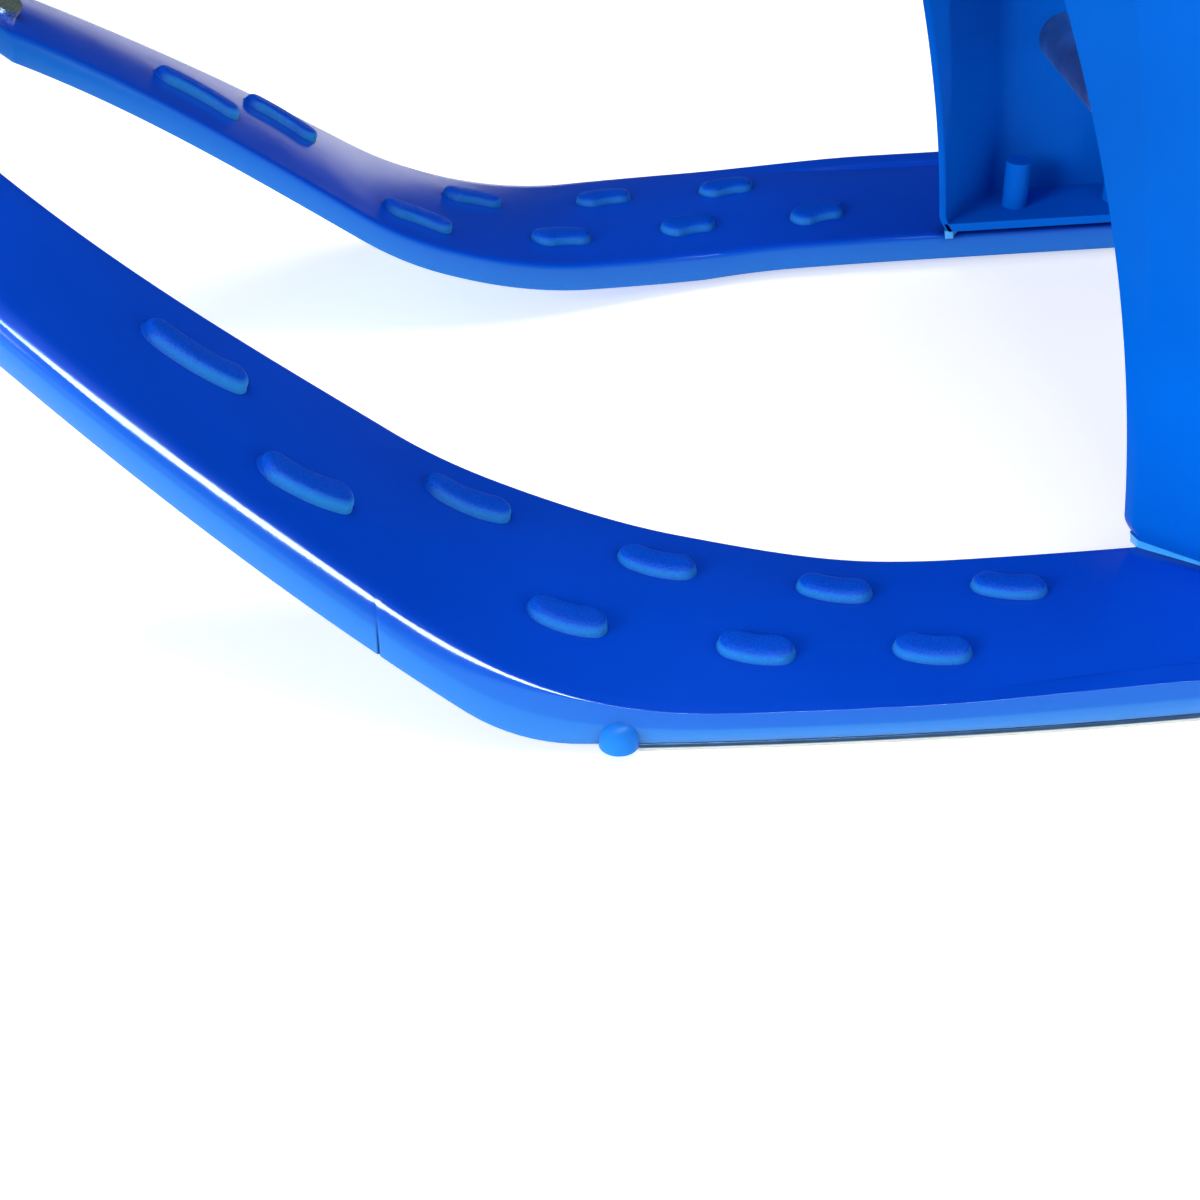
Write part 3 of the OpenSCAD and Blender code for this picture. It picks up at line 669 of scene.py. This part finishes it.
for p in seat_obj.data.polygons:
    heights = [seat_obj.data.vertices[v].co.z for v in p.vertices]
    p.use_smooth = max(heights) - min(heights) > 1e-6
seat_obj.data.set_sharp_from_angle(angle=math.radians(40))
shown(seat_obj, "runner_plastic", "seat_deck")


# ---------------------------------------------------------------- fasteners
def each(points, name, node, profile, turn=None):
    """The same fastener at every point, in one mesh. It points up unless turned."""
    shape = Shape()
    for p in points:
        place = Matrix.Translation(p)
        if turn:
            place = place @ turn(p)
        shape.lathe(profile, place, 32)
    return shown(shape.done(name, [ZINC], sharp=35), "fastener_steel", node)


def socket(r_head, h, z, r_hex, depth):
    """The closing points of a screw head with a six-sided recess."""
    return [(r_head * 0.97, z + h * 0.86), (r_head * 0.86, z + h), (r_hex * 1.25, z + h), (r_hex, z + h - 0.3, 6),
            (r_hex * 0.97, z + h - depth, 6), (r_hex * 0.2, z + h - depth - 0.4)]


def flipped(p):
    return Matrix.Rotation(math.pi, 4, "X")


def outwards(p):
    return Matrix.Rotation(math.radians(-90 if p.y > 0 else 90), 4, "X")


FEET = [(x, s * FOOT_Y) for x0 in FOOT_SCREWS for x in (x0, 2 * SEAT_X - x0) for s in (1, -1)]
each([Vector((x, y, FOOT_UNDER)) for x, y in FEET], "leg_foot_screw_heads", "leg_foot_screws",
     [(1.2, -24), (2.4, -22), (2.4, 1.5), (4.2, 1.5), (4.4, 1.8)] + socket(4.4, 2.9, 1.8, 2.0, 1.8), flipped)
each([Vector((x, y, SEAT_TOP)) for x, y in FEET], "seat_screw_heads", "seat_screws",
     [(1.2, -22), (2.4, -20), (2.4, -2.2), (4.5, -0.35), (4.6, -0.15), (4.4, -0.1), (2.1, -0.1),
      (1.8, -0.3, 6), (1.75, -1.7, 6), (0.4, -2.0)])
for name, s in (("left_rail_screws", 1), ("right_rail_screws", -1)):
    each([Vector((x, s * (outer_y(x) - RAIL_MID), 0)) for x in RAIL_SCREWS], name + "_heads", name,
         [(1.2, -10.5), (2.4, -9.4), (2.4, -2.2), (4.4, -0.35), (4.5, -0.2), (4.3, -0.15), (2.1, -0.15),
          (1.8, -0.35, 6), (1.75, -1.7, 6), (0.4, -2.0)], flipped)
each([Vector((x, s * (LEG_HALF - 3), TUBE_Z)) for x in (30, 2 * SEAT_X - 30) for s in (1, -1)],
     "tube_bolt_heads", "tube_bolts",
     [(2.2, -17), (3, -16), (3, 3.0), (6.2, 3.0), (6.5, 3.3)] + socket(6.5, 3.1, 3.3, 3.0, 2.2), outwards)

# nodes that the CAD already draws in full keep its mesh and get a material
CAD_LOOKS = {"nose_lap_plates": (GLOSS_BLUE, "runner_plastic"), "nose_bolt_set": (ZINC, "fastener_steel"),
             "nose_nut_set": (ZINC, "fastener_steel"), "leg_foot_washers": (ZINC, "fastener_steel"),
             "front_cross_tube": (STEEL, "rail_steel"), "rear_cross_tube": (STEEL, "rail_steel"),
             "tube_inserts": (NYLON, "insert_plastic")}
for node, (material, slot) in CAD_LOOKS.items():
    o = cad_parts[node]
    o.data.materials.clear()
    o.data.materials.append(material)

# ---------------------------------------------------------------- studio
floor_mat = bpy.data.materials.new("studio_floor")
floor_mat.use_nodes = True
nt = floor_mat.node_tree
fb = nt.nodes["Principled BSDF"]
fb.inputs["Roughness"].default_value = 0.9
fb.inputs["Specular IOR Level"].default_value = 0.1
fb.inputs["Emission Color"].default_value = (1, 1, 1, 1)
fb.inputs["Emission Strength"].default_value = 0.5
mottle = nt.nodes.new("ShaderNodeTexNoise")
mottle.inputs["Scale"].default_value = 3.0
tint = nt.nodes.new("ShaderNodeValToRGB")
tint.color_ramp.elements[0].color = (0.93, 0.93, 0.93, 1)
tint.color_ramp.elements[1].color = (0.96, 0.96, 0.96, 1)
nt.links.new(mottle.outputs["Fac"], tint.inputs["Fac"])
nt.links.new(tint.outputs["Color"], fb.inputs["Base Color"])
under = nt.nodes.new("ShaderNodeNewGeometry")
clear = nt.nodes.new("ShaderNodeBsdfTransparent")
either = nt.nodes.new("ShaderNodeMixShader")
nt.links.new(under.outputs["Backfacing"], either.inputs[0])
nt.links.new(fb.outputs["BSDF"], either.inputs[1])
nt.links.new(clear.outputs["BSDF"], either.inputs[2])
nt.links.new(either.outputs["Shader"], nt.nodes["Material Output"].inputs["Surface"])
me = bpy.data.meshes.new("floor")
me.from_pydata([(-9, -9, -0.0005), (9, -9, -0.0005), (9, 9, -0.0005), (-9, 9, -0.0005)], [], [(0, 1, 2, 3)])
me.materials.append(floor_mat)
floor = bpy.data.objects.new("floor", me)
bpy.context.scene.collection.objects.link(floor)

world = bpy.data.worlds.new("studio")
bpy.context.scene.world = world
world.use_nodes = True
wt = world.node_tree
sky = wt.nodes["Background"]
direction = wt.nodes.new("ShaderNodeTexCoord")
parts = wt.nodes.new("ShaderNodeSeparateXYZ")
fade = wt.nodes.new("ShaderNodeMapRange")
fade.inputs["From Min"].default_value = -0.2
fade.inputs["From Max"].default_value = 0.7
fade.inputs["To Min"].default_value = 0.03
fade.inputs["To Max"].default_value = 0.55
wt.links.new(direction.outputs["Generated"], parts.inputs["Vector"])
wt.links.new(parts.outputs["Y"], fade.inputs["Value"])
wt.links.new(fade.outputs["Result"], sky.inputs["Strength"])
sky.inputs["Color"].default_value = (0.94, 0.97, 1.0, 1)


def softbox(name, at, aim, width, height, watts, diffuse=True, glossy=True):
    li = bpy.data.lights.new(name, "AREA")
    li.shape, li.size, li.size_y, li.energy = "RECTANGLE", width, height, watts
    o = bpy.data.objects.new(name, li)
    o.location = at
    o.rotation_mode = "QUATERNION"
    o.rotation_quaternion = (Vector(aim) - Vector(at)).to_track_quat("-Z", "Y")
    o.visible_diffuse, o.visible_glossy = diffuse, glossy
    bpy.context.scene.collection.objects.link(o)
    return o


softbox("overhead", (0.2, 0.1, 2.6), (0.2, 0.0, 0), 2.6, 1.8, 46, glossy=False)
softbox("key_low_left", (2.3, 1.5, 1.0), (0.35, 0.15, 0.05), 1.0, 1.0, 54)
strip = softbox("edge_strip", (0.02, 1.13, 1.33), (0.4, 0.19, 0.1), 2.1, 0.5, 380, diffuse=False)
strip.data.color = (0.62, 0.92, 1.0)

TARGET, DISTANCE = Vector((0.275, 0.142, 0.020)), 0.778
el, off = math.radians(34), math.radians(8)
back = Vector((math.sin(off) * math.cos(el), math.cos(off) * math.cos(el), math.sin(el)))
cam_data = bpy.data.cameras.new("camera")
cam_data.lens, cam_data.sensor_width = 70, 36
cam = bpy.data.objects.new("camera", cam_data)
cam.location = TARGET + back * DISTANCE
cam.rotation_mode = "QUATERNION"
cam.rotation_quaternion = (-back).to_track_quat("-Z", "Y")
bpy.context.scene.collection.objects.link(cam)
bpy.context.scene.camera = cam
bpy.context.scene.view_settings.view_transform = "Standard"
